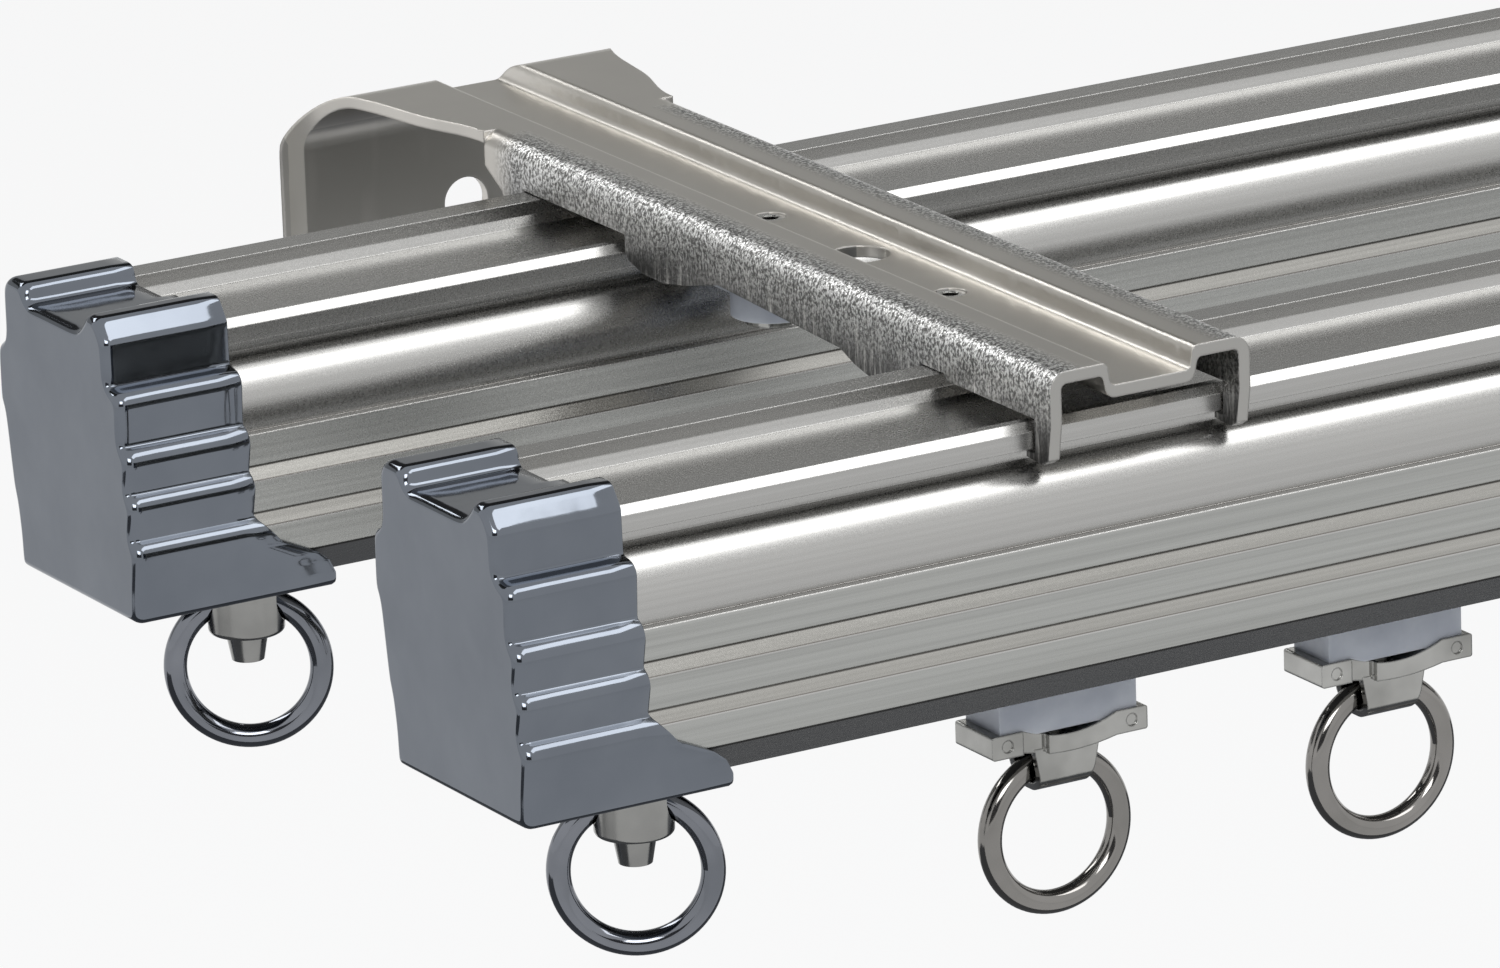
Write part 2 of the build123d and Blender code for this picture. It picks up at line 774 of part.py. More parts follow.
def wall_end():
    """Flared sheet that bends down into the wall plate."""
    reach = 2 * plate_half_width
    sheet_side = extrude(Plane.YZ * bend_side(0), reach, both=True)
    sheet_side -= extrude(Plane.YZ * bend_side(sheet), reach, both=True)
    sheet_side &= Pos(0, 0, -reach) * extrude(flare_plan(), 3 * reach)
    return sheet_side & extrude(Plane.XZ * plate_front(), reach, both=True)


def trough():
    """The pressed web in the middle of the arm, with its screw and rivet holes."""
    length = -front_lip_y + arm_overhang
    strip = Pos(0, 0, arm_top) * extrude(Plane.XZ * trough_strip(), length)
    for y, radius in (
        (ceiling_screw_y, ceiling_screw_radius),
        (ceiling_screw_y - lever_offset, rivet_radius),
        (ceiling_screw_y + lever_offset, rivet_radius),
    ):
        strip -= Pos(0, y, web_top) * Cylinder(radius, 4 * sheet)
    under = extrude(Plane.YZ * bend_side(0), plate_half_width, both=True)
    front = Pos(0, -flare_start, arm_top) * Box(
        plate_half_width, length, 6 * sheet, align=(Align.CENTER, Align.MAX, Align.CENTER)
    )
    return strip & (under + front)


def bracket(x):
    """Pressed steel arm with a trough, flanges that hook the rails, and a wall plate."""
    pressed = arm() + wall_end()
    side = web_half_width + web_slope + sheet
    slot = Pos(0, 0, arm_top) * Box(
        2 * side, -3 * front_lip_y, 2 * (trough_depth + sheet - seat_gap)
    )
    return Pos(x, 0, rail_z) * ((pressed - slot) + trough())


def rivet(y):
    """Tubular rivet, flush in the web, with its head under the lever's hub."""
    top = web_top - seat_gap
    base = web_top - sheet - lever_gap - lever_hub_height - lever_gap
    shank = Pos(0, 0, base) * Cylinder(
        rivet_radius - rivet_fit, top - base, align=(Align.CENTER, Align.CENTER, Align.MIN)
    )
    head = Pos(0, 0, base) * Cylinder(
        rivet_head_radius, rivet_head, align=(Align.CENTER, Align.CENTER, Align.MAX)
    )
    bore = Pos(0, 0, top) * Cylinder(rivet_bore, 2 * rivet_bore_depth)
    return Pos(0, y, rail_z) * (shank + head - bore)


def lever(y, lip_y):
    """Nylon lever: hub on the rivet, arm and thin nose under the lip, grip behind."""
    toward = 1 if lip_y > y else -1
    top = web_top - sheet - lever_gap
    hub = Pos(0, 0, top) * Cylinder(
        lever_hub_radius, lever_hub_height, align=(Align.CENTER, Align.CENTER, Align.MAX)
    )
    nose_top = lip_underside - lever_nose_drop
    reach = abs(lip_y - y) + pocket_depth - lever_pocket_gap
    half = lever_nose_width / 2
    tip = math.sqrt(reach**2 - half**2)
    shoulder = abs(lip_y - y) - lever_shoulder
    side_view = make_face(Polyline(
        (0, nose_top),
        (tip, nose_top - lip_slope),
        (tip, nose_top - lever_nose_thickness),
        (shoulder, nose_top - lever_arm_thickness),
        (-lever_grip, nose_top - lever_arm_thickness),
        (-lever_grip, nose_top),
        (0, nose_top),
    ))
    bar = extrude(Plane.YZ * side_view, half, both=True)
    if toward < 0:
        bar = mirror(bar, Plane.XZ)
    bore = Pos(0, 0, top) * Cylinder(rivet_radius, 4 * lever_hub_height)
    return Pos(0, y, rail_z) * (hub + bar - bore)


def write(name, solid):
    export_step(solid, f"parts/{name}.step")


def main():
    os.makedirs("parts", exist_ok=True)
    sides = {"left": -1, "right": 1}
    for row, y in rail_y.items():
        write(f"{row}_rail", rail(y))
        for end, side in sides.items():
            write(f"{row}_cap_{end}", cap(y, side))
            write(f"{row}_post_{end}", post(y, side))
            write(f"{row}_cap_ring_{end}", cap_ring(y, side))
        for number, inset in enumerate(runner_insets, start=1):
            place = Pos(inset - half_length, y + slot_centre, rail_z)
            spin = Pos(0, 0, axle_height)
            write(f"{row}_runner_body_{number}", place * runner_body())
            write(f"{row}_runner_axle_{number}", place * spin * axle())
            for name, offset_y in (("a", -wheel_offset), ("b", wheel_offset)):
                write(f"{row}_wheel_{number}{name}", place * spin * Pos(0, offset_y, 0) * wheel())
            write(f"{row}_hanger_{number}", place * Pos(0, 0, -plate_drop) * hanger())
            write(f"{row}_runner_ring_{number}", place * Pos(0, 0, ring_hang) * ring())
    for end, side in sides.items():
        x = side * (half_length - bracket_inset)
        write(f"bracket_{end}", bracket(x))
        front_pivot = ceiling_screw_y - lever_offset
        rear_pivot = ceiling_screw_y + lever_offset
        rivets = Compound([
            Pos(x, 0, 0) * rivet(front_pivot).solid(),
            Pos(x, 0, 0) * rivet(rear_pivot).solid(),
        ])
        write(f"lever_rivets_{end}", rivets)
        write(f"front_lever_{end}", Pos(x, 0, 0) * lever(front_pivot, front_back_lip_y))
        write(f"rear_lever_{end}", Pos(x, 0, 0) * lever(rear_pivot, rear_lip_y))


main()
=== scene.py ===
import json
import math

import bpy
from mathutils import Matrix, Vector


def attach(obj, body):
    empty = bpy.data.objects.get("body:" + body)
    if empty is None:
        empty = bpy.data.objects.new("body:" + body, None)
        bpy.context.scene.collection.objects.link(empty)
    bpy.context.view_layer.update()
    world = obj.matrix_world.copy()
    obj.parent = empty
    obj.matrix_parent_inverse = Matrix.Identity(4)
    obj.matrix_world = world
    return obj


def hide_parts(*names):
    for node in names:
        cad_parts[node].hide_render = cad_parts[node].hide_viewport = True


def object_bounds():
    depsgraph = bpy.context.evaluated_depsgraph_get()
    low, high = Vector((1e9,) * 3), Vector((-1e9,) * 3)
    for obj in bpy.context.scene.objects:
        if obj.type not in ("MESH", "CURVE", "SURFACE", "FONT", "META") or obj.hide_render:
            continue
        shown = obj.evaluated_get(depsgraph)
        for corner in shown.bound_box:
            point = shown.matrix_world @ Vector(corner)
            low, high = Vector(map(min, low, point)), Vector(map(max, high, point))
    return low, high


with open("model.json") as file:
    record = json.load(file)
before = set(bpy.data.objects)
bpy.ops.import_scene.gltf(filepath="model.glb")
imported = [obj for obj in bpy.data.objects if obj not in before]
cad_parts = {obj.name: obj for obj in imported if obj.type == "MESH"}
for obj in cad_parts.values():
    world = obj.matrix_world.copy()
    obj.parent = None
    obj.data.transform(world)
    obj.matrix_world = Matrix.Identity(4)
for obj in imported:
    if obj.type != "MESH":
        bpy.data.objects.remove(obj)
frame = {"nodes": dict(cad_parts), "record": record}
cad_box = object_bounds()

# Camera, found by matching the rails' edges, the caps and the bracket to the photograph.
PHOTO_WIDTH = 1500
FOCAL_PIXELS = 11380.7
AZIMUTH = math.radians(-30.0015)
ELEVATION = math.radians(17.0147)
ROLL = math.radians(-2.021)
CAMERA_PLACE = Vector((-0.70383, -0.97808, 0.30922))


def add_camera():
    """A long lens at the photograph's angle, a little rolled as the photograph is."""
    right = Vector((math.cos(AZIMUTH), math.sin(AZIMUTH), 0))
    back = Vector((
        math.sin(AZIMUTH) * math.cos(ELEVATION),
        -math.cos(AZIMUTH) * math.cos(ELEVATION),
        math.sin(ELEVATION),
    ))
    up = back.cross(right)
    x_axis = math.cos(ROLL) * right + math.sin(ROLL) * up
    y_axis = -math.sin(ROLL) * right + math.cos(ROLL) * up
    data = bpy.data.cameras.new("camera")
    data.sensor_width = 36
    data.lens = FOCAL_PIXELS / PHOTO_WIDTH * data.sensor_width
    camera = bpy.data.objects.new("camera", data)
    bpy.context.scene.collection.objects.link(camera)
    turn = Matrix((x_axis, y_axis, back)).transposed().to_4x4()
    camera.matrix_world = Matrix.Translation(CAMERA_PLACE) @ turn
    bpy.context.scene.camera = camera


class Nodes:
    """A short way to write a node tree."""

    def __init__(self, tree):
        self.tree = tree
        tree.nodes.clear()

    def add(self, kind, **settings):
        node = self.tree.nodes.new(kind)
        for name, value in settings.items():
            if name in node.inputs:
                node.inputs[name].default_value = value
            else:
                setattr(node, name, value)
        return node

    def link(self, source, target):
        self.tree.links.new(source, target)


def new_material(name):
    material = bpy.data.materials.new(name)
    material.use_nodes = True
    nodes = Nodes(material.node_tree)
    surface = nodes.add("ShaderNodeBsdfPrincipled")
    output = nodes.add("ShaderNodeOutputMaterial")
    nodes.link(surface.outputs[0], output.inputs[0])
    return material, nodes, surface


def position(nodes, scale):
    """Object coordinates stretched by scale, for grain and brushing in metres."""
    place = nodes.add("ShaderNodeTexCoord")
    mapping = nodes.add("ShaderNodeMapping")
    mapping.inputs["Scale"].default_value = scale
    nodes.link(place.outputs["Object"], mapping.inputs["Vector"])
    return mapping.outputs[0]


def place_parts(nodes):
    """The three object coordinates of the point, in metres."""
    place = nodes.add("ShaderNodeTexCoord")
    split = nodes.add("ShaderNodeSeparateXYZ")
    nodes.link(place.outputs["Object"], split.inputs[0])
    return split.outputs


def facing_parts(nodes):
    """The three parts of the surface's own direction."""
    shape = nodes.add("ShaderNodeNewGeometry")
    split = nodes.add("ShaderNodeSeparateXYZ")
    nodes.link(shape.outputs["Normal"], split.inputs[0])
    return split.outputs


def noise(nodes, scale, detail=4.0, roughness=0.55):
    texture = nodes.add("ShaderNodeTexNoise", Scale=1.0, Detail=detail, Roughness=roughness)
    nodes.link(position(nodes, scale), texture.inputs["Vector"])
    return texture.outputs["Fac"]


def ramp(nodes, value, low, high, low_at=0.3, high_at=0.7):
    """Noise turned into a number or colour between low and high."""
    node = nodes.add("ShaderNodeValToRGB")
    node.color_ramp.elements[0].position = low_at
    node.color_ramp.elements[1].position = high_at
    node.color_ramp.elements[0].color = low
    node.color_ramp.elements[1].color = high
    nodes.link(value, node.inputs["Fac"])
    return node.outputs["Color"]


def grey(value):
    return (value, value, value, 1)


def bump(nodes, surface, height, distance, strength=1.0, edge=None):
    """Relief from a height, over edges rounded by the given radius."""
    node = nodes.add("ShaderNodeBump", Strength=strength, Distance=distance)
    nodes.link(height, node.inputs["Height"])
    if edge:
        rounded = nodes.add("ShaderNodeBevel", Radius=edge)
        nodes.link(rounded.outputs[0], node.inputs["Normal"])
    nodes.link(node.outputs[0], surface.inputs["Normal"])


def math_node(nodes, operation, first, second=0.0):
    """Result of one operation on two values, each a socket or a constant."""
    node = nodes.add("ShaderNodeMath", operation=operation)
    for index, value in enumerate((first, second)):
        if isinstance(value, (int, float)):
            node.inputs[index].default_value = value
        else:
            nodes.link(value, node.inputs[index])
    return node.outputs[0]


def limited(nodes, value):
    """The value, kept between 0 and 1."""
    return math_node(nodes, "MINIMUM", math_node(nodes, "MAXIMUM", value, 0.0), 1.0)


def mix_colour(nodes, share, first, second, blend="MIX"):
    """Blend of two colours, each a socket or a constant."""
    node = nodes.add("ShaderNodeMix", data_type="RGBA", blend_type=blend)
    for index, value in ((0, share), (6, first), (7, second)):
        if isinstance(value, (float, tuple)):
            node.inputs[index].default_value = value
        else:
            nodes.link(value, node.inputs[index])
    return node.outputs[2]


def bands(nodes, value, stops):
    """Colour ramp from a list of (place, colour)."""
    node = nodes.add("ShaderNodeValToRGB")
    elements = node.color_ramp.elements
    elements[0].position = stops[0][0]
    elements[0].color = stops[0][1]
    elements[1].position = stops[-1][0]
    elements[1].color = stops[-1][1]
    for place, colour in stops[1:-1]:
        elements.new(place).color = colour
    nodes.link(value, node.inputs["Fac"])
    return node.outputs["Color"]


# The rails' flutes, in metres up from the rail's bottom face
RAIL_BOTTOM = -0.0168
FLUTE_BOTTOM = 0.00315
FLUTE_PITCH = 0.0045
FLUTES_TOP = 0.0153
LOWEST_FLUTE = 0.93           # the zone starts a little below the lowest flat, in flutes


def flute_share(nodes):
    """Place within one flute, 0 at a flat's lower edge, and 1 inside the fluted zone."""
    base = RAIL_BOTTOM + FLUTE_BOTTOM - FLUTE_PITCH
    height = math_node(nodes, "SUBTRACT", place_parts(nodes)["Z"], base)
    turns = math_node(nodes, "DIVIDE", height, FLUTE_PITCH)
    share = math_node(nodes, "FRACT", turns)
    low = math_node(nodes, "GREATER_THAN", turns, LOWEST_FLUTE)
    high = math_node(nodes, "LESS_THAN", turns, (FLUTES_TOP - FLUTE_BOTTOM) / FLUTE_PITCH + 1)
    return share, math_node(nodes, "MULTIPLY", low, high)


def anodised():
    """Satin anodised extrusion with drawing lines; painted shade under each flat, a painted
    highlight.
    """
    material, nodes, surface = new_material("anodised_aluminium")
    surface.inputs["Metallic"].default_value = 1
    lines = noise(nodes, (5, 2400, 2400), 4.0)
    grain = noise(nodes, (4200, 4200, 4200), 2.0)
    plain = ramp(nodes, lines, (0.385, 0.382, 0.372, 1), (0.43, 0.427, 0.417, 1))
    share, zone = flute_share(nodes)
    # Flats keep their own tone; the rest is painted shade on slopes and grooves and a painted
    # highlight.
    flat = (0.95, 0.97, 0.96, 1)
    painted_slope_shade = (0.88, 0.87, 0.84, 1)
    painted_highlight_line = grey(1.25)
    painted_groove_shade = (0.45, 0.43, 0.41, 1)
    painted_groove_shade_end = (0.55, 0.52, 0.5, 1)
    painted_deep_groove_shade = (0.30, 0.29, 0.28, 1)
    # These bands place the painted highlight line and the painted shade within each flute.
    painted_light_bands = bands(nodes, share, [
        (0.0, flat), (0.645, flat), (0.655, painted_highlight_line), (0.678, painted_highlight_line), (0.684, painted_groove_shade),
        (0.700, painted_groove_shade_end), (0.706, painted_slope_shade), (0.935, painted_slope_shade), (0.945, painted_deep_groove_shade),
        (0.990, painted_deep_groove_shade), (1.0, flat),
    ])
    strokes = ramp(nodes, noise(nodes, (9, 1500, 1500), 3.0, 0.7), grey(0.86), grey(1.08))
    strokes_and_painted_light = mix_colour(nodes, 1.0, painted_light_bands, strokes, "MULTIPLY")
    shade = mix_colour(nodes, zone, (1, 1, 1, 1), strokes_and_painted_light)
    colour = mix_colour(nodes, 1.0, plain, shade, "MULTIPLY")
    nodes.link(colour, surface.inputs["Base Color"])
    nodes.link(ramp(nodes, grain, grey(0.24), grey(0.31)), surface.inputs["Roughness"])
    relief = math_node(nodes, "ADD", math_node(nodes, "MULTIPLY", lines, 0.5), grain)
    bump(nodes, surface, relief, 0.00001, 0.15, edge=0.00018)
    return material


def plated(name, low, high, rough_low, rough_high, ripple, edge=None):
    """Bright plating over a die casting or wire, with a faint ripple."""
    material, nodes, surface = new_material(name)
    surface.inputs["Metallic"].default_value = 1
    cloud = noise(nodes, (120, 120, 120), 3.0)
    nodes.link(ramp(nodes, cloud, low, high), surface.inputs["Base Color"])
    smear = noise(nodes, (400, 400, 400), 3.0)
    nodes.link(ramp(nodes, smear, grey(rough_low), grey(rough_high)), surface.inputs["Roughness"])
    bump(nodes, surface, cloud, ripple, edge=edge)
    return material


def nylon():
    """Milky natural nylon that lets some light through."""
    material, nodes, surface = new_material("natural_nylon")
    cloud = noise(nodes, (300, 300, 300), 3.0)
    # Bluish tone is the nylon's own; its darkness is painted shade for the rail's shadow it sits
    # in.
    colour = ramp(nodes, cloud, (0.43, 0.46, 0.52, 1), (0.53, 0.56, 0.61, 1))
    nodes.link(colour, surface.inputs["Base Color"])
    surface.inputs["Roughness"].default_value = 0.38
    surface.inputs["Subsurface Weight"].default_value = 0.4
    surface.inputs["Subsurface Radius"].default_value = (0.002, 0.002, 0.002)
    surface.inputs["Subsurface Scale"].default_value = 1.0
    return material


BRACKET_X = 0.1718            # each bracket's middle, from the middle of the track
FLARE_Y = -0.027              # the wall end of the bracket starts here
RIDGE_INNER = 0.0070          # the coarse finish starts this far from the bracket's middle
FLANGE_TOP = 0.0075           # below this height the flanges are darker with streaks, painted shade; above it, sparkle
OUTER_BLEND = 600.0           # how quickly each zone starts, per metre
ARM_BLEND = 250.0
HEIGHT_BLEND = 170.0
SQUARE_ON = 0.9               # a face that looks straight along the arm


def pressed_nickel():
    """Nickel-plated sheet: smooth, but coarse along its outer ridges and flanges, with streaks and
    painted shade on the flanges' lower part.
    """
    material, nodes, surface = new_material("nickel_sheet")
    surface.inputs["Metallic"].default_value = 1
    place = place_parts(nodes)
    facing = facing_parts(nodes)

    def blend(start, value, rate):
        return math_node(nodes, "MULTIPLY", math_node(nodes, "SUBTRACT", value, start), rate)

    def both(first, second):
        return math_node(nodes, "MULTIPLY", first, second)

    from_middle = math_node(nodes, "ABSOLUTE", place["X"])
    across = math_node(nodes, "ABSOLUTE", math_node(nodes, "SUBTRACT", from_middle, BRACKET_X))
    outer = blend(RIDGE_INNER, across, OUTER_BLEND)
    arm = blend(place["Y"], FLARE_Y, ARM_BLEND)
    along_arm = math_node(nodes, "ABSOLUTE", facing["Y"])
    not_square = math_node(nodes, "LESS_THAN", along_arm, SQUARE_ON)
    zone = both(limited(nodes, math_node(nodes, "MINIMUM", outer, arm)), not_square)
    wall_end = math_node(nodes, "GREATER_THAN", place["Y"], FLARE_Y)
    front = math_node(nodes, "LESS_THAN", facing["Y"], -SQUARE_ON)
    plate_face = both(wall_end, front)
    cut_edge = both(front, math_node(nodes, "SUBTRACT", 1.0, wall_end))

    cloud = noise(nodes, (60, 60, 60), 3.0)
    smooth = ramp(nodes, cloud, (0.56, 0.54, 0.505, 1), (0.64, 0.62, 0.58, 1))
    streaks = noise(nodes, (1500, 1500, 160), 3.0, 0.7)
    # The streaks are the sheet's own; their dark tone low on the flange is painted shade.
    streaks_in_painted_shade = ramp(nodes, streaks, (0.12, 0.12, 0.12, 1), (0.75, 0.74, 0.72, 1), 0.50, 0.74)
    sparkle = noise(nodes, (3100, 3100, 2500), 2.0, 0.7)
    sparkling = ramp(nodes, sparkle, (0.16, 0.16, 0.155, 1), (1.0, 1.0, 0.99, 1), 0.42, 0.60)
    above_painted_shade = limited(nodes, blend(FLANGE_TOP, place["Z"], HEIGHT_BLEND))
    coarse = mix_colour(nodes, above_painted_shade, streaks_in_painted_shade, sparkling)
    rubbed = noise(nodes, (160, 160, 30), 2.0)
    dull = ramp(nodes, rubbed, (0.44, 0.43, 0.41, 1), (0.58, 0.565, 0.54, 1), 0.5, 0.7)
    colour = mix_colour(nodes, zone, smooth, coarse)
    colour = mix_colour(nodes, plate_face, colour, dull)
    colour = mix_colour(nodes, cut_edge, colour, (0.36, 0.355, 0.34, 1))
    nodes.link(colour, surface.inputs["Base Color"])
    nodes.link(ramp(nodes, cloud, grey(0.30), grey(0.36)), surface.inputs["Roughness"])
    relief = both(sparkle, math_node(nodes, "ADD", zone, 0.02))
    bump(nodes, surface, relief, 0.00015, 0.8, edge=0.0003)
    return material


MATERIALS = {
    "rail": anodised(),
    "cap": plated(
        "plated_casting", (0.140, 0.155, 0.180, 1), (0.160, 0.176, 0.202, 1), 0.07, 0.11, 0.00005
    ),
    "post": plated(
        "turned_steel", (0.22, 0.22, 0.215, 1), (0.30, 0.30, 0.29, 1), 0.15, 0.25, 0.00002
    ),
    "ring": plated(
        "polished_wire", (0.15, 0.16, 0.18, 1), (0.20, 0.21, 0.235, 1), 0.06, 0.11, 0.00004
    ),
    "runner_ring": plated(
        "warm_wire", (0.20, 0.195, 0.185, 1), (0.26, 0.25, 0.24, 1), 0.08, 0.14, 0.00004
    ),
    "hanger": plated(
        "plated_plate", (0.24, 0.24, 0.23, 1), (0.42, 0.42, 0.405, 1), 0.07, 0.13, 0.00006, 0.0003
    ),
    "bracket": pressed_nickel(),
    "nylon": nylon(),
}
MATERIALS["axle"] = MATERIALS["post"]
MATERIALS["rivet"] = MATERIALS["hanger"]
MATERIALS["wheel"] = MATERIALS["nylon"]


def dress_nodes():
    """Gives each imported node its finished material."""
    slots = {part["node"]: part["material_slot"] for part in frame["record"]["subparts"]}
    for name, node in frame["nodes"].items():
        for index in range(len(node.material_slots)):
            node.material_slots[index].link = "OBJECT"
            node.material_slots[index].material = MATERIALS[slots[name]]


RAIL_Y = {"front": -0.1179, "rear": -0.0429}
CAP_END = 0.240               # end faces of the caps
CAP_END_WALL = 0.0024         # their thickness there
CAP_RIM = 0.0012              # rounding of the end face
CAP_REACH = 0.0134            # how far the flanks cover the rail
CAP_RIDGE_REACH = 0.0121      # and the rear ridge
CAP_RIDGE_FOOT = 0.0262       # where that ridge starts, above the rail's bottom face
CAP_SMOOTH_ANGLE = 50         # degrees, sharper edges stay crisp
# Skirt edge as height above the rail's bottom face and reach over the rail
SKIRT = ((0.0075, 0.0134), (0.0046, 0.0159), (0.0029, 0.0196), (0.0018, 0.0210), (0.0004, 0.0217))

LIP_DEPTH = 0.0002            # from the sleeve's edge to the start of its inner face
RIM_STEPS = 7
SLEEVE_STEPS = (0.2, 0.5, 0.8, 0.985)   # rings between rim and edge, as shares of the way
FACE_SMOOTHING = 12           # rounds that take the scallops out of the end face

# Within the cap's outline, in millimetres
CAP_WALL = 0.5
LIP_EDGE = 0.12               # how far the sleeve's edge is eased
LIP_INNER = 0.08
ARC_SPACING = 0.12
OUTLINE_SPACING = 0.22
FACE_INSET = 0.8              # from the outline to the flat of the end face

# How much of the straight beside it a corner's arc may take up, radii in millimetres
SHOULDER_RADIUS = 2.2         # a scallop's shoulder is rounder than this
SHOULDER_SHARE = 0.85
VALLEY_RADIUS = 0.21          # a valley is sharper than this
VALLEY_SHARE = 0.13
CORNER_SHARE = 0.49

# Cap outline in millimetres: out from the rail's middle (the room side is negative), up from the
# rail's bottom face, and the rounding of the corner.
CAP_CORNERS = [
    (-14.5, -1.0, 0.9), (-14.65, 2.3, 2.0), (-15.3, 6.6, 2.6), (-14.0, 7.23, 0.2),
    (-14.9, 11.1, 2.6), (-13.55, 11.73, 0.2), (-14.35, 15.6, 2.6), (-12.75, 16.25, 0.2),
    (-13.0, 21.25, 1.4), (-10.6, 21.75, 0.2), (-10.5, 26.0, 1.2), (-8.9, 28.15, 1.3),
    (-7.0, 28.15, 0.5), (-5.2, 26.2, 0.4), (5.6, 26.2, 0.9), (6.0, 28.1, 1.7),
    (10.5, 28.1, 1.6), (10.5, 21.8, 0.25), (12.3, 20.8, 1.2), (12.3, 15.2, 0.3),
    (11.65, 14.4, 0.5), (11.2, 11.35, 0.2), (11.0, 9.9, 0.5), (10.55, 6.85, 0.2),
    (10.0, 5.4, 0.5), (9.55, 2.35, 0.8), (9.4, -1.0, 0.6),
]


def corner_share(radius):
    if radius > SHOULDER_RADIUS:
        return SHOULDER_SHARE
    return VALLEY_SHARE if radius < VALLEY_RADIUS else CORNER_SHARE


def rounded_outline(corners, spacing):
    """Points round a closed outline, its corners turned into arcs."""
    points = []
    count = len(corners)
    for index, (x, y, radius) in enumerate(corners):
        here = Vector((x, y))
        before = Vector(corners[index - 1][:2]) - here
        after = Vector(corners[(index + 1) % count][:2]) - here
        half = before.angle(after) / 2
        share = corner_share(radius)
        reach = min(radius / math.tan(half), share * before.length, share * after.length)
        radius = reach * math.tan(half)
        middle = (before.normalized() + after.normalized()).normalized()
        centre = here + middle * radius / math.sin(half)
        start = here + before.normalized() * reach - centre
        finish = here + after.normalized() * reach - centre
        turn = math.pi - 2 * half
        if start.x * finish.y - start.y * finish.x < 0:
            turn = -turn
        steps = max(3, round(abs(turn) * radius / spacing) + 2)
        for step in range(steps + 1):
            angle = turn * step / steps
            points.append(centre + Vector((
                start.x * math.cos(angle) - start.y * math.sin(angle),
                start.x * math.sin(angle) + start.y * math.cos(angle),
            )))
    return points


def even_points(points, spacing):
    """The same closed outline with its points an even distance apart."""
    ends = points[1:] + points[:1]
    lengths = [(b - a).length for a, b in zip(points, ends)]
    total = sum(lengths)
    count = round(total / spacing)
    result = []
    index = 0
    passed = 0.0
    for number in range(count):
        goal = total * number / count
        while passed + lengths[index] < goal:
            passed += lengths[index]
            index += 1
        share = (goal - passed) / lengths[index] if lengths[index] else 0
        result.append(points[index].lerp(ends[index], share))
    return result


def outward(points, index):
    """Direction away from the cap at one point of its outline."""
    count = len(points)
    along = points[(index + 1) % count] - points[index - 1]
    return Vector((-along.y, along.x)).normalized()


def inset(points, depth):
    """The outline moved inwards by a depth in millimetres."""
    return [point - outward(points, index) * depth for index, point in enumerate(points)]


def softened(points, rounds):
    """The outline with its waves evened out a little more each round."""
    for _ in range(rounds):
        count = len(points)
        points = [
            (points[index - 1] + 2 * points[index] + points[(index + 1) % count]) / 4
            for index in range(count)
        ]
    return points


def cap_front(point):
    """How far the cap reaches over the rail at this point of its outline."""
    height = point.y / 1000
    if height > SKIRT[0][0]:
        on_ridge = height > CAP_RIDGE_FOOT and point.x > 0
        return CAP_RIDGE_REACH if on_ridge else CAP_REACH
    for (high, near), (low, far) in zip(SKIRT, SKIRT[1:]):
        if height >= low:
            return near + (far - near) * (high - height) / (high - low)
    return SKIRT[-1][1]


def cap_rings(outline):
    """Rings of (reach, outline) from the end face to inside the sleeve."""
    count = len(outline)
    flat = inset(softened(outline, FACE_SMOOTHING), FACE_INSET)
    face = softened(flat, FACE_SMOOTHING)
    rings = [([0.0] * count, face)]
    for step in range(1, RIM_STEPS + 1):
        angle = math.pi / 2 * step / RIM_STEPS
        reach = CAP_RIM * (1 - math.cos(angle))
        ring = [a.lerp(b, math.sin(angle)) for a, b in zip(face, outline)]
        rings.append(([reach] * count, ring))
    fronts = [cap_front(point) for point in outline]
    for step in SLEEVE_STEPS:
        rings.append(([CAP_RIM + (front - CAP_RIM) * step for front in fronts], outline))
    inner = inset(outline, CAP_WALL)
    rings.append((fronts, inset(outline, LIP_EDGE)))
    rings.append((fronts, inset(outline, CAP_WALL - LIP_INNER)))
    rings.append(([front - LIP_DEPTH for front in fronts], inner))
    rings.append(([CAP_END_WALL] * count, inner))
    return rings


def cap_mesh(name, row, side):
    """Closed sleeve through all the rings; side is -1 at the left end and 1 at the right."""
    outline = even_points(rounded_outline(CAP_CORNERS, ARC_SPACING), OUTLINE_SPACING)
    rings = cap_rings(outline)
    count = len(outline)
    vertices = []
    for reaches, ring in rings:
        for reach, point in zip(reaches, ring):
            vertices.append((
                side * (CAP_END - reach),
                RAIL_Y[row] + point.x / 1000,
                RAIL_BOTTOM + point.y / 1000,
            ))
    last = (len(rings) - 1) * count
    faces = [tuple(range(count)), tuple(range(last, last + count))[::-1]]
    for ring in range(len(rings) - 1):
        for index in range(count):
            following = (index + 1) % count
            faces.append((
                ring * count + following,
                ring * count + index,
                (ring + 1) * count + index,
                (ring + 1) * count + following,
            ))
    if side > 0:
        faces = [face[::-1] for face in faces]
    mesh = bpy.data.meshes.new(name)
    mesh.from_pydata(vertices, [], faces)
    mesh.update()
    return mesh


def add_cap(row, end, side):
    """Die-cast cap with rounded scallops that fade into the rim of its end face."""
    node = f"{row}_cap_{end}"
    mesh = cap_mesh(f"{node}_casting", row, side)
    mesh.materials.append(MATERIALS["cap"])
    piece = bpy.data.objects.new(f"{node}_casting", mesh)
    bpy.context.scene.collection.objects.link(piece)
    mesh.shade_smooth()
    mesh.set_sharp_from_angle(angle=math.radians(CAP_SMOOTH_ANGLE))
    for polygon in mesh.polygons:
        if len(polygon.vertices) > 4:
            polygon.use_smooth = False
    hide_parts(node)
    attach(piece, "track")


def add_caps():
    for row in RAIL_Y:
        for end, side in (("left", -1), ("right", 1)):
            add_cap(row, end, side)


